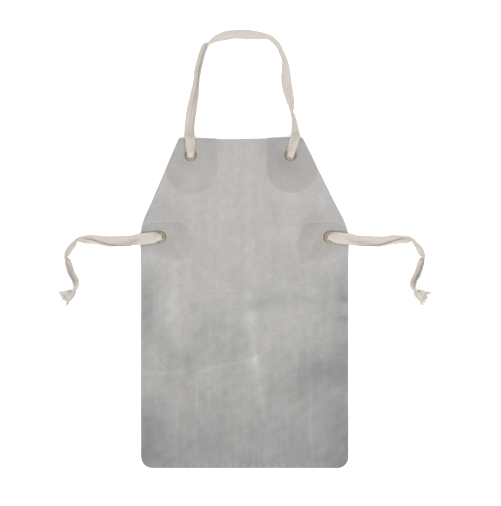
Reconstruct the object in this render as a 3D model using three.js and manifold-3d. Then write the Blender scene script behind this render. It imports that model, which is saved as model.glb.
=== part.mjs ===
// A one-piece leather workshop apron, laid flat on a surface with its front up.
// +X is to the right as one faces it, +Y points to the neck, +Z is up, off the surface.
// The leather lies on the surface and rises over the four tape knots behind its eyelets.
import * as THREE from "three";
import { mergeVertices } from "three/addons/utils/BufferGeometryUtils.js";
import Module from "manifold-3d";

const wasm = await Module();
wasm.setup();

// ---- driving dimensions, in millimetres ----
const bodyWidth = 572;
const bodyLength = 914;
const bottomCornerRadius = 30;
const bibLengthLeft = 246; // from the top down to where each side turns straight
const bibLengthRight = 257;
const waistRadius = 160;
const bibWidth = 338;
const bibOffset = -11.4; // the bib was cut a little off the body's middle
const bibRise = 3; // its right-hand corner stands this much above the left-hand one
const bibLeftCornerRadius = 3;
const bibRightCornerRadius = 14;
const neckDip = 4.5; // how far the top edge dips in its middle
const neckDipRadius = 3200;

const leatherThickness = 1.6;
const patchThickness = 1.2;
const gap = 0.3; // between pieces that touch

const neckEyeletSpacing = 275;
const neckEyeletDrop = 51.5; // from the highest corner down to the neck eyelets
const waistEyeletInset = 53; // from the straight side in to the waist eyelets
const waistEyeletDrop = 277; // from the top down to the waist eyelets
const eyeletBore = 17;
const eyeletWall = 0.8;
const flangeDiameter = 33;
const flangeHeight = 2.9;
const flareWidth = 3; // how far the barrel's end is rolled out behind the washer
const washerDiameter = 31;
const washerThickness = 0.9;

const tapeWidth = 32;
const tapeThickness = 1.5;
const tapeNeckRadius = 7; // the tape, gathered to pass through a bore
const tapeClearance = 0.4; // between an eyelet's front flange and the tape over it
const knotRadius = 15;
const knotHeight = 12;
const frayLength = 17;
const frayWidth = 50;
const frayThickness = 3;

const neckPatchWidth = 140;
const reach = 100; // radius over which the leather comes down from a knot to the surface
const plateau = 36; // radius of the flat top over a knot
const gridStep = 25;

// ---- places that follow from them ----
const bottomY = -bodyLength / 2;
const topY = bodyLength / 2;
const sideX = bodyWidth / 2;
const barrelRadius = eyeletBore / 2 + eyeletWall;
const holeRadius = barrelRadius + gap;
const stack = leatherThickness + gap + patchThickness;
const washerTop = -stack - gap; // below the patch's face, as are the next two
const washerBottom = washerTop - washerThickness;
const flareTop = washerBottom - gap;
const flareBottom = flareTop - eyeletWall;
const patchFace = gap + knotHeight + gap - flareBottom; // height of the patch's face over a knot
const underside = patchFace - stack; // height of the leather's back over a knot
// the height of a tape's middle: where it leaves a bore, and where it lies on the surface
const tapeTop = patchFace + flangeHeight + tapeClearance + tapeThickness / 2;
const tapeLow = gap + tapeThickness / 2;
const neckEyeletY = topY - neckEyeletDrop;
const waistEyeletY = topY - waistEyeletDrop;

// Each eyelet, with the U-shaped or tongue-shaped patch that backs its place in the leather.
const eyelets = [
  { name: "neck_left", x: bibOffset - neckEyeletSpacing / 2, y: neckEyeletY, patchShift: 2, patchDrop: 38 },
  { name: "neck_right", x: bibOffset + neckEyeletSpacing / 2, y: neckEyeletY, patchShift: 5, patchDrop: 33 },
  { name: "waist_left", x: -sideX + waistEyeletInset, y: waistEyeletY, inward: 1 },
  { name: "waist_right", x: sideX - waistEyeletInset, y: waistEyeletY, inward: -1 },
];
const [neckLeft, neckRight, waistLeft, waistRight] = eyelets;

// ---- materials ----
const finish = (color, roughness, metalness) =>
  new THREE.MeshStandardMaterial({ color, roughness, metalness });
const suede = finish(0xb2b2b0, 0.95, 0);
const smoothLeather = finish(0xb0aca8, 0.8, 0);
const brass = finish(0x8f8064, 0.4, 1);
const cotton = finish(0xd6cdc2, 0.95, 0);

const apron = new THREE.Group();

// ---- helpers ----
function solidOf(geometry) {
  const plain = geometry.clone();
  plain.deleteAttribute("normal");
  plain.deleteAttribute("uv");
  const merged = mergeVertices(plain, 1e-4);
  return new wasm.Manifold(
    new wasm.Mesh({
      numProp: 3,
      vertProperties: new Float32Array(merged.attributes.position.array),
      triVerts: new Uint32Array(merged.index.array),
    }),
  );
}

function geometryOf(solid) {
  const mesh = solid.getMesh();
  const geometry = new THREE.BufferGeometry();
  geometry.setAttribute("position", new THREE.BufferAttribute(mesh.vertProperties, 3));
  geometry.setIndex(new THREE.BufferAttribute(mesh.triVerts, 1));
  geometry.computeVertexNormals();
  return geometry;
}

function add(name, geometry, material, place = [0, 0, 0], turn = 0) {
  const mesh = new THREE.Mesh(geometry, material);
  mesh.name = name;
  mesh.position.set(...place);
  mesh.rotation.z = turn;
  apron.add(mesh);
}

// An outline whose corners, given as [x, y, radius], are rounded by arcs.
function roundedShape(corners) {
  const shape = new THREE.Shape();
  corners.forEach(([x, y, radius], i) => {
    const corner = new THREE.Vector2(x, y);
    const [beforeX, beforeY] = corners.at(i - 1);
    const [afterX, afterY] = corners[(i + 1) % corners.length];
    const back = new THREE.Vector2(beforeX, beforeY).sub(corner).normalize();
    const ahead = new THREE.Vector2(afterX, afterY).sub(corner).normalize();
    const half = Math.acos(back.dot(ahead)) / 2;
    const centre = back.clone().add(ahead).normalize().multiplyScalar(radius / Math.sin(half)).add(corner);
    const start = back.multiplyScalar(radius / Math.tan(half)).add(corner);
    const end = ahead.multiplyScalar(radius / Math.tan(half)).add(corner);
    const clockwise = start.clone().sub(corner).cross(end.clone().sub(corner)) > 0;
    if (i === 0) shape.moveTo(start.x, start.y);
    else shape.lineTo(start.x, start.y);
    const from = start.sub(centre).angle();
    const to = end.sub(centre).angle();
    shape.absarc(centre.x, centre.y, radius, from, to, clockwise);
  });
  shape.closePath();
  return shape;
}

// A solid straight up from an outline, tall enough to cut through the raised leather.
function prism(shape) {
  const below = 5;
  const depth = patchFace + 2 * below;
  const geometry = new THREE.ExtrudeGeometry(shape, { depth, bevelEnabled: false, curveSegments: 5 });
  return solidOf(geometry.translate(0, 0, -below));
}

// How far a knot lifts the leather's back at a place.
function lift(x, y) {
  const nearest = Math.min(...eyelets.map((eyelet) => Math.hypot(x - eyelet.x, y - eyelet.y)));
  const fall = THREE.MathUtils.clamp((nearest - plateau) / (reach - plateau), 0, 1);
  return underside * (0.5 + 0.5 * Math.cos(Math.PI * fall));
}

// Grid lines from one end to the other, close together only beside the eyelets.
function gridLines(centres, end) {
  const lines = new Set([-end, end]);
  for (const centre of centres) {
    for (let offset = -reach; offset <= reach; offset += gridStep) lines.add(centre + offset);
  }
  const sorted = [...lines].filter((line) => Math.abs(line) <= end).sort((a, b) => a - b);
  return sorted.filter((line, i) => i === 0 || i === sorted.length - 1 || line - sorted[i - 1] > 3);
}
const margin = 20;
const columns = gridLines(eyelets.map((eyelet) => eyelet.x), sideX + margin);
const rows = gridLines([neckEyeletY, waistEyeletY], topY + margin);

// Splits a box's back squares along the diagonals of its front ones, so that raised sheets stay parallel.
function splitBackLikeFront(box) {
  const order = box.index.array;
  const back = box.groups.at(-1);
  for (let i = back.start; i < back.start + back.count; i += 6) {
    const [a, b, d, , c] = order.slice(i, i + 6);
    order.set([a, b, c, a, c, d], i);
  }
}

// A sheet of one thickness that rises over the knots, its back at `above` over the leather's back.
function risingSheet(above, thickness) {
  const [across, along] = [columns.length - 1, rows.length - 1];
  const sheet = new THREE.BoxGeometry(across, along, thickness, across, along, 1);
  splitBackLikeFront(sheet);
  const points = sheet.attributes.position;
  for (let i = 0; i < points.count; i += 1) {
    const x = columns[Math.round(points.getX(i) + across / 2)];
    const y = rows[Math.round(points.getY(i) + along / 2)];
    points.setXYZ(i, x, y, above + thickness / 2 + points.getZ(i) + lift(x, y));
  }
  return solidOf(sheet);
}

function bore(eyelet, radius) {
  const height = 2 * patchFace + 20;
  const cutter = new THREE.CylinderGeometry(radius, radius, height, 24).rotateX(Math.PI / 2);
  return solidOf(cutter.translate(eyelet.x, eyelet.y, 0));
}

// A closed profile of [radius, height] points turned about +Z.
function turned(profile, segments) {
  const points = profile.map(([radius, height]) => new THREE.Vector2(radius, height));
  return new THREE.LatheGeometry(points, segments).rotateX(Math.PI / 2);
}

// ---- the leather and its patches ----
function panelOutline() {
  const bibLeft = bibOffset - bibWidth / 2;
  const bibRight = bibOffset + bibWidth / 2;
  return roundedShape([
    [-sideX, bottomY, bottomCornerRadius],
    [sideX, bottomY, bottomCornerRadius],
    [sideX, topY - bibLengthRight, waistRadius],
    [bibRight, topY, bibRightCornerRadius],
    [bibOffset, topY - bibRise / 2 - neckDip, neckDipRadius],
    [bibLeft, topY - bibRise, bibLeftCornerRadius],
    [-sideX, topY - bibLengthLeft, waistRadius],
  ]);
}

function neckPatchOutline({ x, y, patchShift, patchDrop }) {
  const radius = neckPatchWidth / 2;
  const centreX = x + patchShift;
  const beyond = topY + margin;
  const shape = new THREE.Shape();
  shape.moveTo(centreX - radius, beyond);
  shape.lineTo(centreX - radius, y - patchDrop);
  shape.absarc(centreX, y - patchDrop, radius, Math.PI, 2 * Math.PI, false);
  shape.lineTo(centreX + radius, beyond);
  shape.closePath();
  return shape;
}

// A tongue from the side edge inwards, given from its eyelet: inward, up, radius.
function waistPatchOutline({ x, y, inward }) {
  const beyond = -waistEyeletInset - margin;
  return roundedShape(
    [
      [beyond, 5, 1],
      [-22, 39, 50],
      [64, 39, 24],
      [93, -20, 30],
      [72, -67, 24],
      [20, -62, 60],
      [beyond, -20, 1],
    ].map(([u, v, radius]) => [x + inward * u, y + v, radius]),
  );
}

const outline = prism(panelOutline());
const leather = risingSheet(0, leatherThickness).intersect(outline);
const panel = eyelets.reduce((solid, eyelet) => solid.subtract(bore(eyelet, holeRadius)), leather);
add("leather_panel", geometryOf(panel), suede);

const patchSheet = risingSheet(leatherThickness + gap, patchThickness).intersect(outline);
for (const eyelet of eyelets) {
  const patchOutline = eyelet.inward ? waistPatchOutline(eyelet) : neckPatchOutline(eyelet);
  const patch = patchSheet.intersect(prism(patchOutline)).subtract(bore(eyelet, holeRadius));
  add("patch_" + eyelet.name, geometryOf(patch), smoothLeather);
}

// ---- eyelets: barrel with its rolled front flange, and the washer behind ----
function barrelProfile() {
  const inner = eyeletBore / 2;
  const outer = flangeDiameter / 2;
  const crest = inner + 0.36 * (outer - inner);
  const bend = eyeletWall / 2;
  return [
    [inner, flareBottom + bend],
    [inner + bend, flareBottom],
    [barrelRadius + flareWidth, flareBottom],
    [barrelRadius + flareWidth, flareTop],
    [barrelRadius, flareTop],
    [barrelRadius, gap],
    [outer, gap],
    [outer, 0.4 * flangeHeight],
    [0.35 * crest + 0.65 * outer, 0.82 * flangeHeight],
    [crest, flangeHeight],
    [inner + bend, 0.8 * flangeHeight],
    [inner, 0.4 * flangeHeight],
    [inner, flareBottom + bend],
  ];
}

const washerProfile = [
  [holeRadius, washerBottom],
  [washerDiameter / 2, washerBottom],
  [washerDiameter / 2, washerTop],
  [holeRadius, washerTop],
  [holeRadius, washerBottom],
];

for (const eyelet of eyelets) {
  const place = [eyelet.x, eyelet.y, patchFace];
  add("eyelet_" + eyelet.name, turned(barrelProfile(), 24), brass, place);
  add("washer_" + eyelet.name, turned(washerProfile, 24), brass, place);
}

// ---- knots: each stops a tape behind its eyelet, its gathered neck standing up through the bore ----
function knotProfile() {
  const low = gap;
  const high = gap + knotHeight;
  return [
    [0, low],
    [0.55 * knotRadius, low],
    [0.92 * knotRadius, low + 0.22 * knotHeight],
    [knotRadius, low + 0.5 * knotHeight],
    [0.92 * knotRadius, low + 0.78 * knotHeight],
    [0.7 * knotRadius, high],
    [tapeNeckRadius, high],
    [tapeNeckRadius, tapeTop + tapeThickness / 2],
    [0, tapeTop + tapeThickness / 2],
  ];
}
for (const eyelet of eyelets) {
  add("knot_" + eyelet.name, turned(knotProfile(), 16), cotton, [eyelet.x, eyelet.y, 0]);
}

// ---- tapes ----
// A station on a tape is [x, y, rise, turn, spread]: x and y from its eyelet; rise, from 0 on the surface
// to 1 at the top of an eyelet; turn, in degrees, lifts the tape's right-hand edge; spread is the share of
// its full width that the tape takes up where it is gathered or cupped.
const tapeStart = tapeNeckRadius + tapeClearance;
const leaving = 14 / tapeWidth;

const neckFromLeft = [
  [0, tapeStart, 1, 0, leaving],
  [-0.8, 14.5, 1, 0, 0.56],
  [-2, 28, 0.95, 0, 0.75],
  [-2.2, 48, 0.86, 0, 0.85],
  [-1.6, 66, 0.53, 8, 0.83],
  [-0.4, 90, 0.14, 12, 0.83],
  [4.1, 124.5, 0, 8, 0.85],
  [10.5, 156, 0, 24, 0.85],
  [17.4, 193, 0, 49, 0.85],
  [22.5, 233, 0, 53, 0.85],
  [31, 269, 0, 52, 0.85],
  [37.5, 289.5, 0, 52, 0.85],
  [43.5, 301.5, 0, 63, 0.85],
  [53, 308, 0, 92, 0.85],
];
// from the middle between the two neck eyelets
const neckOver = [
  [-70, 315.5, 0, 116, 0.85],
  [-54.5, 322, 0, 131, 0.85],
  [-38, 327.5, 0, 143, 0.86],
  [-8, 331, 0, 147, 0.87],
  [17, 330.3, 0, 150, 0.88],
  [40, 329.5, 0, 134, 0.86],
  [66, 325, 0, 119, 0.86],
  [84, 317.5, 0, 114, 0.85],
  [102, 298, 0, 111, 0.85],
];
// from the right eyelet, still on the way from left to right
const neckToRight = [
  [-24.9, 275.5, 0, 112, 0.85],
  [-18.5, 258, 0, 122, 0.86],
  [-15.3, 232, 0, 143, 0.87],
  [-13.4, 217, 0, 155, 0.88],
  [-10.8, 191, 0, 161, 0.89],
  [-3.8, 153, 0, 141, 0.87],
  [-0.5, 134, 0, 118, 0.85],
  [3, 119, 0.02, 92, 0.85],
  [6.5, 105, 0.06, 77, 0.85],
  [10, 82, 0.26, 63, 0.85],
  [11.2, 65.5, 0.56, 45, 0.85],
  [11.6, 53, 0.79, 26, 0.85],
  [10.6, 41, 0.91, 8, 0.82],
  [8, 29, 0.95, 0, 0.76],
  [4, 16.5, 1, 0, 0.6],
  [0.8, tapeStart + 0.6, 1, 0, leaving],
];
// outward from a waist eyelet
const tieFromEyelet = [
  [tapeStart, 0, 1, 0, leaving],
  [15, -0.8, 1, 0, 0.6],
  [27, -2.6, 0.96, 0, 0.85],
  [41, -4, 0.91, 0, 1],
  [56, -5.8, 0.8, 0, 0.95],
  [72, -8.2, 0.55, 0, 0.87],
  [88, -10.6, 0.3, 0, 0.86],
  [106, -11.8, 0.1, 0, 0.86],
  [124, -12.8, 0.02, 8, 0.84],
  [142, -12.3, 0, 20, 0.84],
  [158, -9.8, 0, 33, 0.84],
  [176, -6.6, 0, 41, 0.84],
  [194, -5, 0, 43, 0.84],
  [209, -4.2, 0, 51, 0.84],
  [220, -4.5, 0, 66, 0.84],
  [229, -7.5, 0, 88, 0.84],
  [236, -14.5, 0, 108, 0.84],
  [244.5, -23.5, 0, 120, 0.84],
  [252, -33.5, 0, 123, 0.84],
  [257.8, -45.5, 0, 114, 0.84],
  [259.4, -56, 0, 90, 0.84],
  [257.4, -67, 0, 60, 0.84],
  [253.6, -79.5, 0, 48, 0.84],
  [249.3, -94, 0, 44, 0.84],
  [243.5, -107, 0, 42, 0.84],
  [238, -117, 0, 48, 0.84],
  [234.3, -127, 0, 54, 0.84],
  [232.9, -137, 0, 70, 0.84],
  [235, -145.5, 0, 98, 0.84],
  [241, -152.5, 0, 138, 0.86],
  [249.5, -158.6, 0, 165, 0.95],
  [257.5, -163.6, 0, 178, 1],
];

const tapeHeight = (rise, turn, spread) =>
  tapeLow + rise * (tapeTop - tapeLow) + (spread * tapeWidth * Math.abs(Math.sin(turn))) / 2;

// A flat tape through its stations, given as [x, y, rise, turn, spread] in the apron's own frame.
function tape(stations) {
  const rad = THREE.MathUtils.degToRad;
  const route = new THREE.CatmullRomCurve3(
    stations.map(([x, y, rise, turn, spread]) =>
      new THREE.Vector3(x, y, tapeHeight(rise, rad(turn), spread))),
  );
  const lie = new THREE.CatmullRomCurve3(
    stations.map(([, , , turn, spread]) => new THREE.Vector3(rad(turn), spread, 0)),
    false, "catmullrom", 0.5,
  );
  const [w, h] = [tapeWidth / 2, tapeThickness / 2];
  const edge = 0.6 * h; // half the height of the section's flat sides
  const quarter = [[w, edge], [w - h, h]];
  const half = [...quarter, ...quarter.map(([x, y]) => [-x, y]).reverse()];
  const section = new THREE.Shape(
    [...half, ...half.map(([x, y]) => [-x, -y])].map(([x, y]) => new THREE.Vector2(x, y)),
  );
  const steps = 2 * (stations.length - 1);
  const strip = new THREE.ExtrudeGeometry(section, { depth: 1, steps, bevelEnabled: false });
  const points = strip.attributes.position;
  const up = new THREE.Vector3(0, 0, 1);
  for (let i = 0; i < points.count; i += 1) {
    const along = THREE.MathUtils.clamp(points.getZ(i), 0, 1);
    const { x: turn, y: spread } = lie.getPoint(along);
    const ahead = route.getTangent(along).setZ(0).normalize();
    const left = up.clone().cross(ahead);
    const across = left.clone().multiplyScalar(Math.cos(turn)).addScaledVector(up, -Math.sin(turn));
    const out = left.multiplyScalar(Math.sin(turn)).addScaledVector(up, Math.cos(turn));
    const point = route.getPoint(along);
    point.addScaledVector(across, spread * points.getX(i)).addScaledVector(out, points.getY(i));
    points.setXYZ(i, point.x, point.y, point.z);
  }
  return strip;
}

function neckStrap() {
  const from = (x, y, stations) => stations.map(([dx, dy, ...lie]) => [x + dx, y + dy, ...lie]);
  return tape([
    ...from(neckLeft.x, neckEyeletY, neckFromLeft),
    ...from((neckLeft.x + neckRight.x) / 2, neckEyeletY, neckOver),
    ...from(neckRight.x, neckEyeletY, neckToRight),
  ]);
}

function tie({ x, y, inward }) {
  return tape(tieFromEyelet.map(([outward, dy, rise, turn, spread]) =>
    [x - inward * outward, y + dy, rise, inward * turn, spread]));
}

// The loose threads at a tie's cut end, as one flat fan that widens from the tape's end.
function addFray(eyelet, name) {
  const [fromX, fromY] = tieFromEyelet.at(-2);
  const [toX, toY] = tieFromEyelet.at(-1);
  const turn = Math.atan2(toY - fromY, -eyelet.inward * (toX - fromX));
  const fan = new THREE.Shape(
    [[gap, -tapeWidth / 2], [frayLength, -frayWidth / 2], [frayLength, frayWidth / 2], [gap, tapeWidth / 2]]
      .map(([x, y]) => new THREE.Vector2(x, y)),
  );
  const geometry = new THREE.ExtrudeGeometry(fan, { depth: frayThickness, bevelEnabled: false });
  add(name, geometry, cotton, [eyelet.x - eyelet.inward * toX, eyelet.y + toY, gap], turn);
}

add("neck_strap", neckStrap(), cotton);
add("tie_left", tie(waistLeft), cotton);
add("tie_right", tie(waistRight), cotton);
addFray(waistLeft, "fray_left");
addFray(waistRight, "fray_right");

export default apron;
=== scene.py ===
"""A grey suede workshop apron laid flat, front up, with cotton tapes through four brass eyelets.

Metres throughout. +X is to the right as one faces the apron, +Y points to the neck, +Z is up.
"""
import math

import bpy
import numpy as np
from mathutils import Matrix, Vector


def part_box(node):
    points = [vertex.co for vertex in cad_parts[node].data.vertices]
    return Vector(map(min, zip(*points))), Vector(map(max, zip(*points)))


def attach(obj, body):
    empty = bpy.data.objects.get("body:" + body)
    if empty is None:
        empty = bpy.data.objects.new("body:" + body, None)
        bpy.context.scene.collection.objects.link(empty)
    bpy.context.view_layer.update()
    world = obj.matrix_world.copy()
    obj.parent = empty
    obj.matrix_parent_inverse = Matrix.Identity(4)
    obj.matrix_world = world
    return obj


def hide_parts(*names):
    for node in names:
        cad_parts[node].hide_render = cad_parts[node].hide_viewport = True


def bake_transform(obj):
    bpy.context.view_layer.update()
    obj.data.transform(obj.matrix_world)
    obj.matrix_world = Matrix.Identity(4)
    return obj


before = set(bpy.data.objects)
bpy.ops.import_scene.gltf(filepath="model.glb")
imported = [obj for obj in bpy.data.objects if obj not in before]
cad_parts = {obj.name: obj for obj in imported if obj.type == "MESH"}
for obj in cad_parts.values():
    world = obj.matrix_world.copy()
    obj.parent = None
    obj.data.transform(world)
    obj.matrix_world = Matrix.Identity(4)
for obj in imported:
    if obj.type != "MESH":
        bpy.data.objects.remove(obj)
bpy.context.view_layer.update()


def middle(node):
    low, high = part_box(node)
    return (low + high) / 2


# ---- places from the frame, and the sizes that the CAD gives the same pieces ----
SIDES = ("neck_left", "neck_right", "waist_left", "waist_right")
TIE_SIDES = ("waist_left", "waist_right")
EYELETS = {side: middle(f"eyelet_{side}") for side in SIDES}
PANEL_LOW, PANEL_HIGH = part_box("leather_panel")
HALF_WIDTH = PANEL_HIGH.x
HALF_LENGTH = -PANEL_LOW.y

BIB_WIDTH = 0.338
BIB_OFFSET = -0.0114
BIB_RISE = 0.003
BIB_LENGTH_LEFT = 0.246
BIB_LENGTH_RIGHT = 0.257
NECK_DIP = 0.0045
HEM_RADIUS = 0.03
WAIST_RADIUS = 0.16

LEATHER = 0.0016
PATCH = 0.0012
EYELET_BORE = 0.017
FLANGE_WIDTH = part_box("eyelet_neck_left")[1].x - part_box("eyelet_neck_left")[0].x
FLANGE_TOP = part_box("eyelet_neck_left")[1].z
FLANGE_HEIGHT = 0.0029
PATCH_FACE = FLANGE_TOP - FLANGE_HEIGHT
CAD_GAP = 0.0003  # between the leather and a patch in the CAD
UNDERSIDE = PATCH_FACE - PATCH - CAD_GAP - LEATHER  # the leather's back over a knot
PLATEAU = 0.036  # how far from an eyelet the leather is level
REACH = 0.1  # and how far from it the leather is down again

TAPE_WIDTH = 0.032
TAPE_THICKNESS = 0.0013
TAPE_TOP = 0.02205
TAPE_LOW = 0.00105
KNOT_RADIUS = 0.015
KNOT_HEIGHT = 0.012
FRAY_LENGTH = 0.019
FRAY_WIDTH = 0.052

CELL = 0.0034  # the leather's mesh
COLUMNS = 28  # the tapes' mesh, across and along
ROW_STEP = 0.0025
BORE_ROWS = 5  # the rows at a tape's end that stay where the bore holds them
CLEARANCE = 0.0003  # under the tapes, and under the leather
HOLE = EYELET_BORE / 2 + 0.0011  # the radius of the holes in the leather and patches

# ---- camera: straight above, a long lens ----
VIEW_CENTRE = (0.0159, 0.1364)
VIEW_HEIGHT = 1.397
LENS = 120.0
SENSOR = 36.0


def add_camera():
    data = bpy.data.cameras.new("camera")
    data.lens = LENS
    data.sensor_width = SENSOR
    camera = bpy.data.objects.new("camera", data)
    bpy.context.scene.collection.objects.link(camera)
    camera.location = (*VIEW_CENTRE, VIEW_HEIGHT * LENS / SENSOR)
    data.clip_end = 50
    bpy.context.scene.camera = camera


add_camera()


# ---- mesh helpers ----
def mesh_object(name, points, faces, materials, face_material=None, smooth=True):
    mesh = bpy.data.meshes.new(name)
    mesh.from_pydata([tuple(p) for p in points], [], [tuple(f) for f in faces])
    mesh.update()
    for material in materials:
        mesh.materials.append(material)
    if face_material is not None:
        mesh.polygons.foreach_set("material_index", np.asarray(face_material, np.int32))
    mesh.polygons.foreach_set("use_smooth", np.full(len(mesh.polygons), smooth))
    piece = bpy.data.objects.new(name, mesh)
    bpy.context.scene.collection.objects.link(piece)
    return piece


def set_values(piece, name, values):
    attribute = piece.data.attributes.new(name, "FLOAT", "POINT")
    attribute.data.foreach_set("value", np.asarray(values, np.float32))


def grid_faces(rows, columns, start=0, closed=False):
    """Quads of a grid of points, row by row, which may close on itself across its columns."""
    across = columns if closed else columns - 1
    i = np.arange(rows - 1)[:, None] * columns
    j = np.arange(across)[None, :]
    k = (j + 1) % columns
    quads = np.stack([i + j, i + k, i + columns + k, i + columns + j], axis=-1)
    return quads.reshape(-1, 4) + start


def closed_tube(rings):
    """Points and faces of a tube through rings of points, with a cap on each end."""
    count, sides = rings.shape[:2]
    faces = grid_faces(count, sides, closed=True).tolist()
    faces.append(list(range(sides))[::-1])
    faces.append([(count - 1) * sides + k for k in range(sides)])
    return rings.reshape(-1, 3), faces


def joined(parts):
    """Several (points, faces) as one."""
    points, faces, total = [], [], 0
    for part_points, part_faces in parts:
        points.append(part_points)
        faces += [[v + total for v in face] for face in part_faces]
        total += len(part_points)
    return np.concatenate(points), faces


def catmull_rom(stations, fine=24):
    """A smooth curve through stations of any number of values."""
    p = np.asarray(stations, float)
    p = np.vstack([2 * p[0] - p[1], p, 2 * p[-1] - p[-2]])
    t = np.linspace(0, 1, fine, endpoint=False)[:, None]
    pieces = [
        0.5 * (2 * b + (c - a) * t + (2 * a - 5 * b + 4 * c - d) * t**2 + (3 * b - a - 3 * c + d) * t**3)
        for a, b, c, d in zip(p, p[1:], p[2:], p[3:])
    ]
    return np.vstack([*pieces, p[-2:-1]])


def unit(vectors):
    return vectors / np.maximum(np.linalg.norm(vectors, axis=-1, keepdims=True), 1e-9)


def smooth_step(value, low, high):
    share = np.clip((value - low) / (high - low), 0, 1)
    return share * share * (3 - 2 * share)


def bump(distance, width):
    return np.exp(-0.5 * (distance / width) ** 2)


def lengths_along(line):
    return np.concatenate([[0], np.cumsum(np.linalg.norm(np.diff(line, axis=0), axis=1))])


def resampled(curve, step, dimensions=3):
    """The curve again with rows a step apart, measured over its first few values."""
    along = lengths_along(curve[:, :dimensions])
    wanted = np.linspace(0, along[-1], max(3, round(along[-1] / step) + 1))
    return np.stack([np.interp(wanted, along, column) for column in curve.T], axis=1)


def waves(x, y, wavelength, seed, count=7):
    """Smooth irregular waves between about -1 and 1, the same ones each run."""
    random = np.random.default_rng(seed)
    total = 0
    for _ in range(count):
        angle, phase = random.uniform(0, 2 * math.pi, 2)
        number = 2 * math.pi / (wavelength * random.uniform(0.7, 1.5))
        total = total + np.sin(number * (x * math.cos(angle) + y * math.sin(angle)) + phase)
    return total / math.sqrt(count)


def slab(name, x, y, heights, quads, materials, smooth_walls):
    """A sheet with quads over and under, and a wall at each edge that only one quad has."""
    total = x.size
    edges = dict.fromkeys((a, b) for quad in quads.tolist() for a, b in zip(quad, quad[1:] + quad[:1]))
    walls = [(b, a, a + total, b + total) for a, b in edges if (b, a) not in edges]
    faces = np.concatenate([quads, quads[:, ::-1] + total, walls])
    used = np.unique(faces)
    renumber = np.full(2 * total, -1)
    renumber[used] = np.arange(len(used))
    points = np.concatenate([np.stack([x, y, z], axis=-1).reshape(-1, 3) for z in heights])[used]
    is_wall = np.arange(len(faces)) >= 2 * len(quads)
    piece = mesh_object(name, points, renumber[faces].tolist(), materials, is_wall)
    if not smooth_walls:
        piece.data.polygons.foreach_set("use_smooth", ~is_wall)
    return piece, points


# ---- the leather's outline ----
def rounded_outline(corners, step=0.004):
    """Points round an outline whose corners, given as (x, y, radius), are rounded by arcs."""
    outline = []
    for i, (x, y, radius) in enumerate(corners):
        corner = np.array([x, y])
        back = unit(np.array(corners[i - 1][:2]) - corner)
        ahead = unit(np.array(corners[(i + 1) % len(corners)][:2]) - corner)
        half = math.acos(float(np.clip(back @ ahead, -1, 1))) / 2
        centre = corner + unit(back + ahead) * radius / math.sin(half)
        first = corner + back * radius / math.tan(half) - centre
        last = corner + ahead * radius / math.tan(half) - centre
        swing = math.atan2(first[0] * last[1] - first[1] * last[0], float(first @ last))
        count = max(3, int(abs(swing) * radius / step) + 2)
        start = math.atan2(first[1], first[0])
        for angle in start + np.linspace(0, swing, count):
            outline.append(centre + radius * np.array([math.cos(angle), math.sin(angle)]))
    return np.array(outline)


TOP_LEFT = (BIB_OFFSET - BIB_WIDTH / 2, HALF_LENGTH - BIB_RISE)
TOP_RIGHT = (BIB_OFFSET + BIB_WIDTH / 2, HALF_LENGTH)
OUTLINE = rounded_outline([
    (-HALF_WIDTH, -HALF_LENGTH, HEM_RADIUS),
    (HALF_WIDTH, -HALF_LENGTH, HEM_RADIUS),
    (HALF_WIDTH, HALF_LENGTH - BIB_LENGTH_RIGHT, WAIST_RADIUS),
    (*TOP_RIGHT, 0.014),
    (BIB_OFFSET, HALF_LENGTH - BIB_RISE / 2 - NECK_DIP, 3.2),
    (*TOP_LEFT, 0.003),
    (-HALF_WIDTH, HALF_LENGTH - BIB_LENGTH_LEFT, WAIST_RADIUS),
])


def top_edge(x):
    """The height of the neck edge above each place, dipping in its middle."""
    share = (x - TOP_LEFT[0]) / (TOP_RIGHT[0] - TOP_LEFT[0])
    straight = TOP_LEFT[1] + share * (TOP_RIGHT[1] - TOP_LEFT[1])
    return straight - NECK_DIP * np.clip(1 - (2 * share - 1) ** 2, 0, 1)


def side_chains():
    """The left and right edges, as x over the share of the way from the bottom to the neck edge."""
    lowest = OUTLINE[:, 1].min()
    share = (OUTLINE[:, 1] - lowest) / (top_edge(OUTLINE[:, 0]) - lowest)
    chains = []
    for sign in (-1, 1):
        is_side = (sign * (OUTLINE[:, 0] - BIB_OFFSET) > 0.13) & (sign * OUTLINE[:, 0] > 0.1)
        order = np.argsort(share[is_side])
        chains.append((share[is_side][order], OUTLINE[is_side][order][:, 0]))
    return chains


LEFT_CHAIN, RIGHT_CHAIN = side_chains()


def share_up(x, y):
    return (y + HALF_LENGTH) / (top_edge(x) + HALF_LENGTH)


def on_leather(x, y):
    share = share_up(x, y)
    left, right = np.interp(share, *LEFT_CHAIN), np.interp(share, *RIGHT_CHAIN)
    return (share > 0) & (share < 1) & (x > left) & (x < right)


# ---- the leather's relief ----
def in_metres(marks):
    """Marks whose places, amounts and widths are written in thousandths."""
    return [
        ([(x / 1000, y / 1000) for x, y in line], amount / 1000, width / 1000)
        for line, amount, width in marks
    ]


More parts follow.
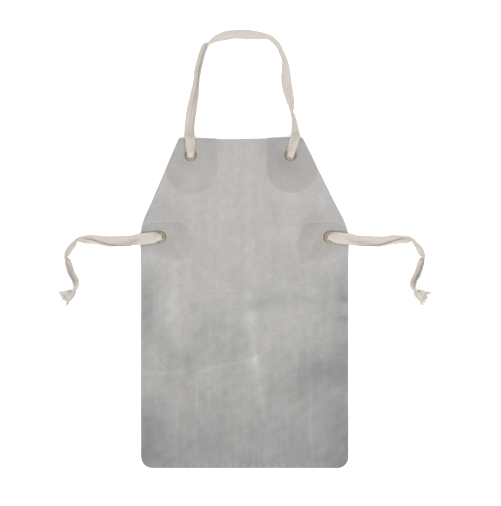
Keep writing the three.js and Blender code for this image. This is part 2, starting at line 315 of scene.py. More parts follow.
# Soft folds in the leather: each is [points of its line], height, half width, in millimetres.
FOLDS = in_metres([
    ([(70, 421), (111, 371), (161, 338)], -2.2, 12),
    ([(165, 400), (196, 345), (218, 300), (224, 235)], 0.7, 12),
    ([(-180, 395), (-205, 345), (-230, 300)], -1.6, 13),
    ([(-150, 372), (-140, 320), (-120, 270)], 1.2, 16),
    ([(23, -7), (120, -12), (241, -7)], -1.4, 16),
    ([(-146, -175), (-110, -110), (-50, -85), (0, -120)], -1.6, 18),
    ([(-132, -170), (-60, -176), (50, -176)], 1.1, 7),
    ([(12, -10), (24, -120), (36, -230), (50, -325)], 1.3, 9),
    ([(-129, -145), (-127, -290), (-129, -435)], -0.9, 8),
    ([(183, -253), (180, -350), (184, -443)], -1, 8),
    ([(-63, 440), (-60, 300), (-63, 140)], -0.8, 10),
    ([(-286, 20), (-262, -10), (-240, -60)], -1.8, 18),
    ([(285, 80), (262, 20), (240, -40)], -1.8, 18),
    ([(-220, -200), (-200, -300), (-230, -420)], 1.2, 22),
    ([(215, -240), (222, -340), (206, -440)], 1.4, 16),
])
# the crease inward of each waist eyelet, from the eyelet and in metres, with a low ridge beside it
WAIST_CREASE = [(0.03, -0.004), (0.042, -0.03), (0.06, -0.064)]
WAIST_FOLDS = [
    ([(at.x + inward * (dx + over), at.y + dy + up) for dx, dy in WAIST_CREASE], height, width)
    for at, inward in ((EYELETS["waist_left"], 1), (EYELETS["waist_right"], -1))
    for over, up, height, width in ((0, 0, -0.001, 0.009), (0.02, 0.006, 0.0005, 0.011))
]
WAVES = [(0.0011, 0.3, 3), (0.0005, 0.11, 4), (0.00012, 0.035, 5)]  # height, wavelength, seed
RESTING = 0.0022  # the mean height that the waves hold the leather at
CALM = (0.09, 0.17)  # the leather has no waves up to the first distance from a waist eyelet


def distance_to_line(x, y, line):
    """How far each place is from a line, which fades towards the line's ends."""
    fine = catmull_rom(line, 12)
    share = np.linspace(0, 1, len(fine))
    nearest = np.full(np.shape(x), 1e9)
    fade = np.zeros(np.shape(x))
    for (px, py), s in zip(fine, share):
        distance = (x - px) ** 2 + (y - py) ** 2
        closer = distance < nearest
        nearest = np.where(closer, distance, nearest)
        fade = np.where(closer, math.sin(math.pi * (0.06 + 0.88 * s)) ** 0.6, fade)
    return np.sqrt(nearest), fade


def lift_over_knot(radius):
    """The height of the leather's back at a distance from an eyelet, as its knot lifts it."""
    fall = np.clip((radius - PLATEAU) / (REACH - PLATEAU), 0, 1)
    return UNDERSIDE * (0.5 + 0.5 * np.cos(math.pi * fall))


def from_eyelets(x, y, sides=SIDES):
    return np.min([np.hypot(x - EYELETS[side].x, y - EYELETS[side].y) for side in sides], axis=0)


def marks_at(x, y, marks, weakest=0.0):
    """The sum of soft marks, each [points of its line], amount, half width, weaker towards its ends."""
    total = 0
    for line, amount, width in marks:
        distance, fade = distance_to_line(x, y, line)
        total = total + amount * (weakest + (1 - weakest) * fade) * bump(distance, width)
    return total


def leather_back(x, y):
    """The height of the leather's back: over the knots, and in its folds and gentle waves.

    It is calm round the waist eyelets, where the ties swing over it."""
    nearest = from_eyelets(x, y)
    relief = RESTING + marks_at(x, y, FOLDS)
    for height, wavelength, seed in WAVES:
        relief = relief + height * waves(x, y, wavelength, seed)
    calm = smooth_step(from_eyelets(x, y, TIE_SIDES), *CALM) * np.clip((nearest - 0.019) / 0.03, 0, 1)
    return np.maximum(lift_over_knot(nearest) + calm * relief + marks_at(x, y, WAIST_FOLDS), CLEARANCE)


def leather_face(x, y):
    return leather_back(x, y) + LEATHER


# ---- materials ----
class Material:
    """A material, with short ways to add its nodes."""

    def __init__(self, name, roughness, metallic=0, sheen=0, specular=0.5):
        self.made = bpy.data.materials.new(name)
        self.made.use_nodes = True
        self.tree = self.made.node_tree
        self.shader = self.tree.nodes["Principled BSDF"]
        self.shader.inputs["Roughness"].default_value = roughness
        self.shader.inputs["Metallic"].default_value = metallic
        self.shader.inputs["Specular IOR Level"].default_value = specular
        self.shader.inputs["Sheen Weight"].default_value = sheen
        self.shader.inputs["Sheen Roughness"].default_value = 0.5

    def link(self, value, socket):
        if isinstance(value, bpy.types.NodeSocket):
            self.tree.links.new(value, socket)
        else:
            socket.default_value = value

    def new(self, kind, **settings):
        node = self.tree.nodes.new("ShaderNode" + kind)
        for name, value in settings.items():
            setattr(node, name, value)
        return node

    def places(self):
        return self.new("TexCoord").outputs["Object"]

    def value_of(self, name):
        return self.new("Attribute", attribute_name=name).outputs["Fac"]

    def noise(self, scale, detail=3.0, roughness=0.55, stretch=(1, 1, 1), vector=None):
        mapping = self.new("Mapping")
        mapping.inputs["Scale"].default_value = stretch
        self.link(vector or self.places(), mapping.inputs["Vector"])
        node = self.new("TexNoise")
        self.link(mapping.outputs["Vector"], node.inputs["Vector"])
        node.inputs["Scale"].default_value = scale
        node.inputs["Detail"].default_value = detail
        node.inputs["Roughness"].default_value = roughness
        return node.outputs["Fac"]

    def math(self, operation, a, b=0.0, clamp=False):
        node = self.new("Math", operation=operation, use_clamp=clamp)
        self.link(a, node.inputs[0])
        self.link(b, node.inputs[1])
        return node.outputs["Value"]

    def product(self, first, *others, clamp=False):
        for other in others:
            first = self.math("MULTIPLY", first, other, clamp)
        return first

    def between(self, value, low, high, to_low=0.0, to_high=1.0):
        node = self.new("MapRange")
        self.link(value, node.inputs["Value"])
        numbers = {"From Min": low, "From Max": high, "To Min": to_low, "To Max": to_high}
        for socket, number in numbers.items():
            node.inputs[socket].default_value = number
        return node.outputs["Result"]

    def varied(self, amount, *noise, **settings):
        """A factor that a noise varies round 1, by amount to either side."""
        return self.between(self.noise(*noise, **settings), 0.3, 0.7, 1 - amount, 1 + amount)

    def mix(self, share, a, b, blend="MIX"):
        """A mix of two colours, at the numbers that the Mix node's colour sockets have."""
        node = self.new("Mix", data_type="RGBA", blend_type=blend)
        self.link(share, node.inputs["Factor"])
        for value, socket in ((a, node.inputs[6]), (b, node.inputs[7])):
            self.link((*value, 1.0) if isinstance(value, tuple) else value, socket)
        return node.outputs[2]

    def scaled(self, colour, factor):
        """A colour times a grey value."""
        grey = self.new("CombineColor")
        for name in ("Red", "Green", "Blue"):
            self.link(factor, grey.inputs[name])
        return self.mix(1.0, colour, grey.outputs["Color"], "MULTIPLY")

    def bump(self, height, distance, strength):
        node = self.new("Bump")
        node.inputs["Distance"].default_value = distance
        node.inputs["Strength"].default_value = strength
        self.link(height, node.inputs["Height"])
        return node.outputs["Normal"]

    def finish(self, colour, normal=None, roughness=None):
        self.link(colour, self.shader.inputs["Base Color"])
        if normal is not None:
            self.link(normal, self.shader.inputs["Normal"])
        if roughness is not None:
            self.link(roughness, self.shader.inputs["Roughness"])
        return self.made


def suede_material():
    n = Material("suede", 0.95, sheen=0.25, specular=0.2)
    nap = n.between(n.noise(1500, 3, 0.7), 0.25, 0.75, 0.9, 1.1)
    streaks = n.varied(0.035, 48, 3, 0.6, (1, 0.1, 1))
    own_tone = n.value_of("tone")
    tone = n.product(n.varied(0.035, 11, 3), n.varied(0.04, 55, 4, 0.6), n.varied(0.09, 230, 4, 0.65), nap,
                     own_tone, streaks)
    clean = n.between(n.math("ADD", own_tone, n.product(n.noise(24, 3), 0.4)), 0.85, 1.15)
    colour = n.mix(clean, (0.324, 0.328, 0.32), (0.334, 0.326, 0.322))
    warm = n.mix(n.value_of("stain"), n.scaled(colour, tone), (0.42, 0.27, 0.19))
    fibres = n.math("ADD", n.noise(2200, 4, 0.75), n.product(n.noise(420, 3, 0.6), 0.8))
    return n.finish(warm, n.bump(fibres, 0.0006, 0.55))


def patch_material():
    n = Material("smooth_leather", 0.78, sheen=0.12, specular=0.3)
    tone = n.product(n.varied(0.035, 40, 4, 0.6), n.varied(0.035, 190, 3, 0.6), n.value_of("tone"))
    colour = n.mix(n.between(n.noise(30, 3), 0.35, 0.65), (0.305, 0.292, 0.278), (0.3, 0.291, 0.281))
    pores = n.new("TexVoronoi", feature="DISTANCE_TO_EDGE")
    pores.inputs["Scale"].default_value = 900
    n.link(n.places(), pores.inputs["Vector"])
    grain = n.math("ADD", n.between(pores.outputs["Distance"], 0, 0.25), n.noise(700, 3))
    return n.finish(n.scaled(colour, tone), n.bump(grain, 0.00035, 0.4))


def cut_edge_material():
    n = Material("cut_edge", 0.95, specular=0.2)
    fibre = n.between(n.noise(1300, 4, 0.7, (1, 1, 0.4)), 0.3, 0.7, 0.85, 1.12)
    return n.finish(n.scaled((0.34, 0.33, 0.31), fibre), n.bump(n.noise(1800, 4), 0.0006, 0.6))


def brass_material():
    n = Material("brass", 0.38, metallic=1.0)
    # partly rubbed wear and partly a painted highlight: the raised inner part of each flange is made paler
    rubbed_and_highlight_share = n.product(n.value_of("rubbed_and_highlight"), n.between(n.noise(900, 3), 0.3, 0.6), clamp=True)
    dull = n.mix(n.between(n.noise(420, 4, 0.65), 0.38, 0.62), (0.15, 0.12, 0.08), (0.27, 0.22, 0.15))
    roughness = n.between(n.noise(600, 3), 0.3, 0.7, 0.4, 0.6)
    pits = n.bump(n.noise(1100, 4, 0.6), 0.0002, 0.3)
    return n.finish(n.mix(rubbed_and_highlight_share, dull, (0.6, 0.53, 0.42)), pits, roughness)


def tape_material():
    """Plain-woven cotton tape: along and across are its own lengthwise and crosswise places, in metres."""
    n = Material("cotton_tape", 0.95, sheen=0.2, specular=0.15)
    along, across = n.value_of("along"), n.value_of("across")
    warp_pitch, weft_pitch = 0.00105, 0.00085
    warp = n.math("SINE", n.product(across, 2 * math.pi / warp_pitch))
    weft = n.math("SINE", n.product(along, 2 * math.pi / weft_pitch))
    weave = n.math("ADD", n.product(warp, weft, 0.6), n.product(warp, 0.4))
    streak_place = n.new("CombineXYZ")
    n.link(n.product(along, 18.0), streak_place.inputs["X"])
    n.link(n.product(across, 900.0), streak_place.inputs["Y"])
    streak = n.varied(0.045, 1.0, 3, 0.6, vector=streak_place.outputs["Vector"])
    selvedge = n.between(n.math("ABSOLUTE", across), 0.0138, 0.0156, 1.0, 0.9)
    tone = n.product(n.varied(0.035, 160, 4, 0.6), streak, selvedge, n.between(weave, -1, 1, 0.93, 1.05))
    shade = n.mix(n.between(n.noise(35, 3), 0.35, 0.65), (0.478, 0.438, 0.392), (0.466, 0.434, 0.398))
    # painted shade: darker brown in the tape's folds, creases and small dent, and round its neck in a
    # bore, where shade falls
    painted_shade = n.product(n.value_of("painted_shade"), n.between(n.noise(300, 3, 0.6), 0.3, 0.7, 0.75, 1.0), clamp=True)
    shade = n.mix(painted_shade, shade, (0.265, 0.215, 0.16))
    return n.finish(n.scaled(shade, tone), n.bump(weave, 0.00018, 0.6))


def thread_material(name, colour):
    n = Material(name, 0.95, sheen=0.2, specular=0.15)
    twist = n.between(n.noise(1600, 3, 0.6), 0.3, 0.7, 0.88, 1.08)
    return n.finish(n.scaled(colour, twist), n.bump(n.noise(2500, 3), 0.0002, 0.5))


SUEDE = suede_material()
SMOOTH_LEATHER = patch_material()
CUT_EDGE = cut_edge_material()
BRASS = brass_material()
TAPE = tape_material()
YARN = thread_material("cotton_yarn", (0.52, 0.485, 0.44))
STITCH = thread_material("stitching_thread", (0.47, 0.46, 0.44))


# ---- the tapes ----
# A station is [x, y, rise, turn, spread] from its eyelet, as in the CAD, with x and y in millimetres: rise
# goes from 0 on the surface to 1 at the top of an eyelet, turn in degrees lifts the right-hand edge, and
# spread is the share of the full width that shows where the tape is gathered or cupped.
NECK_FROM_LEFT = [
    [-0.8, 14.5, 1, 0, 0.77], [-2, 28, 0.95, 0, 0.84], [-2.2, 48, 0.86, 0, 0.86],
    [-1.6, 66, 0.53, 8, 0.83], [-0.4, 90, 0.14, 12, 0.83], [4.1, 124.5, 0, 8, 0.85],
    [10.5, 156, 0, 24, 0.85], [17.4, 193, 0, 44, 0.85], [22.5, 233, 0, 46, 0.85],
    [31, 269, 0, 45, 0.85], [37.5, 289.5, 0, 47, 0.85], [43.5, 301.5, 0, 60, 0.85],
    [53, 308, 0, 92, 0.85],
]
# from the middle between the two neck eyelets
NECK_OVER = [
    [-70, 315.5, 0, 116, 0.85], [-54.5, 322, 0, 131, 0.85], [-38, 327.5, 0, 143, 0.86],
    [-8, 331, 0, 147, 0.87], [17, 330.3, 0, 150, 0.88], [40, 329.5, 0, 134, 0.86],
    [66, 325, 0, 119, 0.86], [84, 317.5, 0, 114, 0.85], [102, 298, 0, 111, 0.85],
]
# from the right eyelet, still on the way from left to right
NECK_TO_RIGHT = [
    [-24.9, 275.5, 0, 112, 0.85], [-18.5, 258, 0, 122, 0.86], [-15.3, 232, 0, 143, 0.87],
    [-13.4, 217, 0, 155, 0.88], [-10.8, 191, 0, 161, 0.89], [-3.8, 153, 0, 141, 0.87],
    [-0.5, 134, 0, 118, 0.85], [3, 119, 0.02, 92, 0.85], [6.5, 105, 0.06, 77, 0.85],
    [10, 82, 0.26, 63, 0.85], [11.2, 65.5, 0.56, 45, 0.85], [11.6, 53, 0.79, 26, 0.85],
    [10.6, 41, 0.91, 8, 0.84], [8, 29, 0.95, 0, 0.82], [4, 16.5, 1, 0, 0.74],
]
# outward from a waist eyelet
TIE_FROM_EYELET = [
    [15, -0.8, 1, 0, 0.93], [27, -2.6, 0.96, 0, 1], [41, -4, 0.91, 0, 1],
    [56, -5.8, 0.8, 0, 0.95], [72, -8.2, 0.55, 0, 0.87], [88, -10.6, 0.3, 0, 0.86],
    [106, -11.8, 0.1, 0, 0.86], [124, -12.8, 0.02, 8, 0.84], [142, -12.3, 0, 20, 0.84],
    [158, -9.8, 0, 33, 0.84], [176, -6.6, 0, 41, 0.84], [194, -5, 0, 43, 0.84],
    [209, -4.2, 0, 51, 0.84], [220, -4.5, 0, 66, 0.84], [229, -7.5, 0, 88, 0.84],
    [236, -14.5, 0, 108, 0.84], [244.5, -23.5, 0, 120, 0.84], [252, -33.5, 0, 123, 0.84],
    [257.8, -45.5, 0, 114, 0.84], [259.4, -56, 0, 90, 0.84], [257.4, -67, 0, 52, 0.78],
    [253.6, -79.5, 0, 34, 0.7], [249.3, -94, 0, 28, 0.67], [243.5, -107, 0, 28, 0.67],
    [238, -117, 0, 36, 0.7], [234.3, -127, 0, 48, 0.76], [232.9, -137, 0, 70, 0.84],
    [235, -145.5, 0, 98, 0.84], [241, -152.5, 0, 138, 0.86], [249.5, -158.6, 0, 165, 0.95],
    [257.5, -163.6, 0, 178, 1],
]
# How a tape comes out of an eyelet: [outward, height over the patch's face, spread].
NECK_BORE = [
    [-0.0042, -0.007, 0.38], [-0.0041, -0.0005, 0.4], [-0.0026, 0.0038, 0.47],
    [0.002, 0.0066, 0.58], [0.0088, 0.0072, 0.7],
]
TIE_BORE = [
    [-0.003, -0.007, 0.42], [-0.0029, -0.0005, 0.45], [-0.0014, 0.0038, 0.54],
    [0.0028, 0.0064, 0.68], [0.0088, 0.007, 0.83],
]

# The shape of a tape's section along its length, as [share of the length, cup, wave, pleat, fold, crease,
# the crease's place]. The fold and the crease also carry painted shade, darker where they lie.
NECK_SECTIONS = [
    [0, -0.6, 0.1, 0.5, 0, 0, 0.17],
    [0.02, -0.9, 0.1, 0.2, 0, 0, 0.17],
    [0.05, -0.6, 0.3, 0, 0, 0, 0.17],
    [0.1, 0.6, 0.5, 0, 0, 0, 0.17],
    [0.15, 0.6, 0.6, 0, 0.2, 0, 0.17],
    [0.22, 0.2, 0.3, 0, 0.9, 0, 0.17],
    [0.3, 0.2, 0.3, 0, 0.9, 0, 0.17],
    [0.37, 0.6, 0.5, 0.1, 0.2, 0, 0.17],
    [0.42, 1, 0, 0, 0, 0.2, 0.17],
    [0.5, 0.9, 0.2, 0.1, 0, 0.5, 0.17],
    [0.55, 0.3, 0.3, 0.4, 0, 0, 0.17],
    [0.62, 1, 0.3, 0, 0, 0, 0.17],
    [0.75, 1, 0.2, 0.1, 0, 0, 0.17],
    [0.87, 0.9, 0, 0, 0, 0, 0.17],
    [0.92, 0.4, 0.5, 0.1, 0, 0, 0.17],
    [0.95, -0.6, 0.3, 0, 0, 0, 0.17],
    [0.98, -0.9, 0.1, 0.2, 0, 0, 0.17],
    [1, -0.6, 0.1, 0.5, 0, 0, 0.17],
]
TIE_SECTIONS = [
    [0, -0.6, 0.1, 0.5, 0, 0, 0.42],
    [0.03, -1, 0.1, 0.2, 0, 0, 0.42],
    [0.1, -0.8, 0.2, 0, 0, 0, 0.42],
    [0.18, 0.4, 0.3, 0.1, 0, 0, 0.42],
    [0.26, 0.4, 0.2, 0.1, 0, 0.4, 0.42],
    [0.34, 0.1, 0.2, 0.1, 0, 1, 0.34],
    [0.44, 0.1, 0.2, 0, 0, 1.1, 0.16],
    [0.5, 0.3, 0.2, 0, 0, 0.9, 0.02],
    [0.54, 0.7, 0.2, 0, 0, 0.3, 0],
    [0.58, 1, 0.1, 0, 0, 0, 0],
    [0.66, 0.7, 0, 0, 0.4, 0, 0],
    [0.71, 0.1, 0, 0, 1, 0, 0],
    [0.86, 0.1, 0, 0, 1, 0, 0],
    [0.91, 1, 0.1, 0, 0.3, 0, 0],
    [0.96, 0.3, 0.2, 0.7, 0, 0, 0],
    [1, 0.1, 0.2, 1, 0, 0, 0],
]


def flange_height(radius):
    """The height of an eyelet's front over the patch at a distance from its middle."""
    inner, outer = EYELET_BORE / 2, FLANGE_WIDTH / 2
    share = np.clip((radius - inner) / (outer - inner), 0, 1)
    dome = FLANGE_HEIGHT * np.sqrt(np.clip(1 - (2 * share - 0.75) ** 2 * 0.62, 0, 1))
    return np.where((radius > inner) & (radius < outer), dome, 0)


SWEPT_SPARE = 0.0009
PATCH_END = (0.08, 0.11)
SWEPT_END = (0.14, 0.17)


def support(x, y):
    """The height of what a tape may lie on: the floor, the leather, a patch or an eyelet."""
    inside = on_leather(x, y)
    height = np.where(inside, leather_face(x, y), 0)
    # a tie also clears the leather that it swings over, which is as high all round its eyelet
    radius = from_eyelets(x, y, TIE_SIDES)
    swept = lift_over_knot(radius) + LEATHER + SWEPT_SPARE + PATCH * (1 - smooth_step(radius, *PATCH_END))
    height = np.maximum(height, swept * (1 - smooth_step(radius, *SWEPT_END)))
    for at in EYELETS.values():
        radius = np.hypot(x - at.x, y - at.y)
        height = np.where(inside & (radius < REACH), height + PATCH, height)
        height = np.where(radius < FLANGE_WIDTH / 2, PATCH_FACE + flange_height(radius), height)
        height = np.where(radius < EYELET_BORE / 2, -1.0, height)
    return height


FOLD_PLACE = 0.06  # where across a section its fold is


def section(spread, cup, wave, pleat, fold, crease, place, mirror=1):
    """A tape's bent section: sideways, up, slope and painted crease shade at each column, as wide as
    spread says.
    """
    s = np.linspace(-0.5, 0.5, COLUMNS + 1)
    bend = 1.2 * cup * np.sin(math.pi * s) + pleat * np.sin(4 * math.pi * s)
    bend += fold * np.tanh(11 * (s - FOLD_PLACE * mirror)) + mirror * wave * np.cos(2 * math.pi * s)
    bend += mirror * 1.6 * crease * np.exp(-(((s - (place + 0.05) * mirror) / 0.08) ** 2))
    low, high = 0.0, 4.0 / max(float(np.abs(bend).max()), 1e-6)
    for _ in range(22):
        amount = (low + high) / 2
        width = float(np.cos(amount * (bend[1:] + bend[:-1]) / 2).sum()) / COLUMNS
        low, high = (amount, high) if width > spread else (low, amount)
    slope = low * bend
    middles = (slope[1:] + slope[:-1]) / 2
    step = TAPE_WIDTH / COLUMNS
    side = np.concatenate([[0], np.cumsum(np.cos(middles))]) * step
    up = np.concatenate([[0], np.cumsum(np.sin(middles))]) * step
    # painted shade: darker along the fold and the crease, where shade falls in them
    painted_shade = 0.8 * fold * np.exp(-(((s - FOLD_PLACE * mirror) / 0.09) ** 2))
    painted_shade += crease * np.exp(-(((s - place * mirror) / 0.07) ** 2))
    return side - side.mean(), up - up.mean(), slope, painted_shade


# The small slanting crease in each tape: how far along it lies, and where across, as in a section.
NECK_DENT = (0.45, 0.16)
TIE_DENT = (0.1, 0.2)


def dent(along, place, mirror):
    """How deep the small crease at a place is, across the columns at one row."""
    u = along - place[0]
    v = (np.linspace(-0.5, 0.5, COLUMNS + 1) * mirror - place[1]) * TAPE_WIDTH
    return np.exp(-((u + v) ** 2) / (2 * 0.0042**2) - (u - v) ** 2 / (2 * 0.0013**2))


def tape_rows(stations, sections, seed, dent_place, ends_in_bore=False, mirror=1):
    """Rows of a tape from stations [x, y, z, turn, spread, headingX, headingY], starting in a bore."""
    curve = resampled(catmull_rom(stations), ROW_STEP)
    count = len(curve)
    share = np.linspace(0, 1, count)
    table = np.array(sections)
    lie = np.stack([np.interp(share, table[:, 0], column) for column in table[:, 1:].T], axis=1)
    wander = waves(share, np.zeros(count), 0.055, seed)
    centre = curve[:, :3].copy()
    ahead = unit(np.gradient(centre, axis=0))
    heading = unit(curve[:, 5:7])
    left = np.stack([-heading[:, 1], heading[:, 0], np.zeros(count)], axis=1)
    left = unit(left - ahead * np.sum(left * ahead, axis=1)[:, None])
    up = np.cross(ahead, left)
    turn = np.radians(curve[:, 3] + 3.0 * wander)[:, None]
    across = left * np.cos(turn) - up * np.sin(turn)
    out = left * np.sin(turn) + up * np.cos(turn)
    along = lengths_along(centre)
    half = np.full(COLUMNS + 1, TAPE_THICKNESS / 2)
    half[[0, -1]] *= 0.55  # the selvedges are thinner
    top, bottom, painted_shade = [], [], []
    for i in range(count):
        spread = min(curve[i, 4] * (1 + 0.012 * wander[i]), 0.995)
        side, height, slope, painted_fold_shade = section(spread, *lie[i], mirror)
        depth = dent(along[i], dent_place, mirror)
        height = height + 0.0003 * waves(along[i] + 0 * side, 1.6 * side, 0.017, seed + 1) - 0.0006 * depth
        line = centre[i] + side[:, None] * across[i] + height[:, None] * out[i]
        normal = (np.cos(slope)[:, None] * out[i] - np.sin(slope)[:, None] * across[i]) * half[:, None]
        top.append(line + normal)
        bottom.append(line - normal)
        # the painted shade of the fold and crease, and more of it in the small dent
        painted_shade.append(painted_fold_shade + 0.6 * depth)
    top, bottom, painted_shade = np.array(top), np.array(bottom), np.array(painted_shade)
    everything = np.concatenate([top, bottom], axis=1)
    gap = everything[..., 2] - support(everything[..., 0], everything[..., 1])
    need = np.maximum(CLEARANCE - gap.min(axis=1), 0)
    need[np.abs(ahead[:, 2]) > 0.75] = 0  # where the tape stands up in a bore
    widest = np.array([need[max(0, i - 3): i + 4].max() for i in range(count)])
    kernel = np.array([1, 3, 5, 6, 5, 3, 1], float)
    smooth = np.convolve(np.pad(widest, 3, mode="edge"), kernel / kernel.sum(), mode="valid")
    smooth[:BORE_ROWS] *= np.linspace(0, 1, BORE_ROWS)
    if ends_in_bore:
        smooth[-BORE_ROWS:] *= np.linspace(1, 0, BORE_ROWS)
    for rows in (top, bottom):
        rows[..., 2] += smooth[:, None]
    centre[:, 2] += smooth
    return {"centre": centre, "top": top, "bottom": bottom, "out": out, "painted_shade": painted_shade}


def tape_object(name, rows):
    loop = np.concatenate([rows["top"], rows["bottom"][:, ::-1]], axis=1)
    points, faces = closed_tube(loop)
    faces = [face[::-1] for face in faces]
    piece = mesh_object(name, points, faces, [TAPE])
    along = lengths_along(rows["centre"])
    width = np.linspace(-TAPE_WIDTH / 2, TAPE_WIDTH / 2, COLUMNS + 1)
    set_values(piece, "along", np.repeat(along, 2 * (COLUMNS + 1)))
    set_values(piece, "across", np.tile(np.concatenate([width, width[::-1]]), len(along)))
    # painted shade of the folds and creases, on both faces
    set_values(piece, "painted_shade", np.concatenate([rows["painted_shade"], rows["painted_shade"][:, ::-1]], axis=1).reshape(-1))
    return piece


def risen(stations, at, mirror=1):
    """Stations in metres in the row frame, with heights for their rise."""
    full = TAPE_TOP - TAPE_LOW
    return [
        [at[0] + mirror * x / 1000, at[1] + y / 1000, TAPE_LOW + rise * full, mirror * turn, spread]
        for x, y, rise, turn, spread in stations
    ]


def with_headings(stations):
    """Each station with the level direction that the tape goes in there."""
    ahead = unit(np.gradient(np.array([station[:2] for station in stations]), axis=0))
    return [[*station, *direction] for station, direction in zip(stations, ahead)]


def bore_stations(bore, at, outward, backwards=False):
    stations = [
        [at[0] + outward[0] * out, at[1] + outward[1] * out, PATCH_FACE + height, 0, spread]
        for out, height, spread in bore
    ]
    return stations[::-1] if backwards else stations


def neck_tape():
    left, right = EYELETS["neck_left"], EYELETS["neck_right"]
    between = ((left.x + right.x) / 2, left.y)
    body = risen(NECK_FROM_LEFT, left) + risen(NECK_OVER, between) + risen(NECK_TO_RIGHT, right)
    first = bore_stations(NECK_BORE, left, (0, 1))
    last = bore_stations(NECK_BORE, right, (0.25, 0.97), backwards=True)
    headed = with_headings(first[-1:] + body + last[:1])[1:-1]
    stations = [[*s, 0, 1] for s in first] + headed + [[*s, -0.25, -0.97] for s in last]
    rows = tape_rows(stations, NECK_SECTIONS, 11, NECK_DENT, ends_in_bore=True)
    piece = tape_object("neck_tape", rows)
    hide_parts("neck_strap")
    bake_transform(piece)


YARNS = 64
YARN_ROWS = 9  # the rows of the tape that the yarns still lie on
YARN_LOWEST = 0.0006
YARN_RADII = [(0, 0.0002), (0.4, 0.00048), (0.85, 0.0004), (1, 0.00012)]  # at shares of its length


def tassel(name, rows, body, seed):
    """The loose warp yarns at a tape's cut end, which start on the tape and fan out past it in tufts."""
    random = np.random.default_rng(seed)
    top = rows["top"]
    forward = rows["centre"][-1] - rows["centre"][-4]
    forward[2] = 0
    forward = unit(forward)
    sideways = np.array([-forward[1], forward[0], 0])
    if (top[-1, -1] - top[-1, 0]) @ sideways < 0:
        sideways = -sideways
    tufts = np.sort(random.uniform(-1, 1, 7))
    parts = []
    for k in range(YARNS):
        share = -1 + 2 * (k + 0.5) / YARNS
        column = (share + 1) / 2 * COLUMNS
        low, part = int(column), column % 1
        upper = (rows["out"][-1, 2] > 0) == (k % 4 != 0)
        face = (top if upper else rows["bottom"])[-YARN_ROWS:]
        lying = face[:, low] * (1 - part) + face[:, min(low + 1, COLUMNS)] * part
        lying = lying[::2] + rows["out"][-YARN_ROWS::2] * (0.00015 if upper else -0.00015)
        tuft = tufts[np.argmin(np.abs(tufts - share))]
        aim = 0.62 * share + 0.38 * tuft + random.normal(0, 0.03)
        reach = FRAY_LENGTH * random.uniform(0.72, 1.12) * (1 - 0.18 * abs(share - tuft) * 3)
        splay = (FRAY_WIDTH - TAPE_WIDTH) / 2 * aim
        steps = np.linspace(0, 1, 6)[1:, None]
        end = lying[-1]
        height = YARN_LOWEST + random.uniform(0, 0.0022)
        hump = 0.0008 * np.sin(math.pi * steps) * random.normal(0.3, 1)
        level = end[2] * (1 - steps) + height * steps + hump
        curl = 0.0012 * random.normal() * steps**2
        path = end + forward * reach * steps + sideways * (splay * steps**0.9 + curl)
        path[:, 2:3] = np.maximum(level, YARN_LOWEST)
        fine = catmull_rom(np.vstack([lying, path]), 3)
        radius = np.interp(np.linspace(0, 1, len(fine)), *np.transpose(YARN_RADII))
        parts.append(closed_tube(tube_rings(fine, radius, 6)))
    points, faces = joined(parts)
    piece = mesh_object(name, points, faces, [YARN])
    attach(piece, body)
    return piece


def tube_rings(line, radius, sides, flat=1.0):
    """Rings round a line, each as wide as radius says there."""
    ahead = unit(np.gradient(line, axis=0))
    side = np.cross(ahead, [0, 0, 1.0])
    side[np.linalg.norm(side, axis=1) < 1e-3] = [1.0, 0, 0]
    side = unit(side)
    over = np.cross(side, ahead)
    angle = np.linspace(0, 2 * math.pi, sides, endpoint=False)[None, :, None]
    width = np.broadcast_to(radius, len(line))[:, None, None]
    return line[:, None] + width * (side[:, None] * np.cos(angle) + flat * over[:, None] * np.sin(angle))


def tie_tape(side):
    at = EYELETS[f"waist_{side}"]
    mirror = -1 if side == "left" else 1
    body = risen(TIE_FROM_EYELET, at, mirror)
    for station in body:
        station[3] *= -1
    first = bore_stations(TIE_BORE, at, (mirror, 0))
    headed = with_headings(first[-1:] + body)[1:]
    stations = [[*s, mirror, 0] for s in first] + headed
    rows = tape_rows(stations, TIE_SECTIONS, 21, TIE_DENT, mirror=-mirror)
    piece = tape_object(f"tie_tape_{side}", rows)
    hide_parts(f"tie_{side}")
    fray = tassel(f"tassel_{side}", rows, f"tie_{side}", 31)
    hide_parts(f"fray_{side}")
    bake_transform(piece)


neck_tape()
tie_tape("left")
tie_tape("right")


# ---- knots behind the leather ----
KNOT_ROPE = 0.004  # the half width of the tape's rope in a knot
KNOT_FLATNESS = 0.62
# The pleated neck that fills the bore, as (height, radius).
KNOT_NECK = [
    (0.004, 0.0052), (0.0085, 0.0056), (0.012, 0.0066), (PATCH_FACE - 0.003, 0.0074),
    (PATCH_FACE - 0.0014, 0.0075), (PATCH_FACE - 0.0005, 0.0068), (PATCH_FACE + 0.0001, 0.005),
    (PATCH_FACE + 0.0003, 0.0028), (PATCH_FACE + 0.0003, 0.0008),
]
# The short tail, from below the eyelet.
KNOT_TAIL = [
    (0.004, -0.006, 0.004), (0.01, -0.016, 0.0024), (0.015, -0.026, 0.0016), (0.018, -0.034, 0.0014),
]


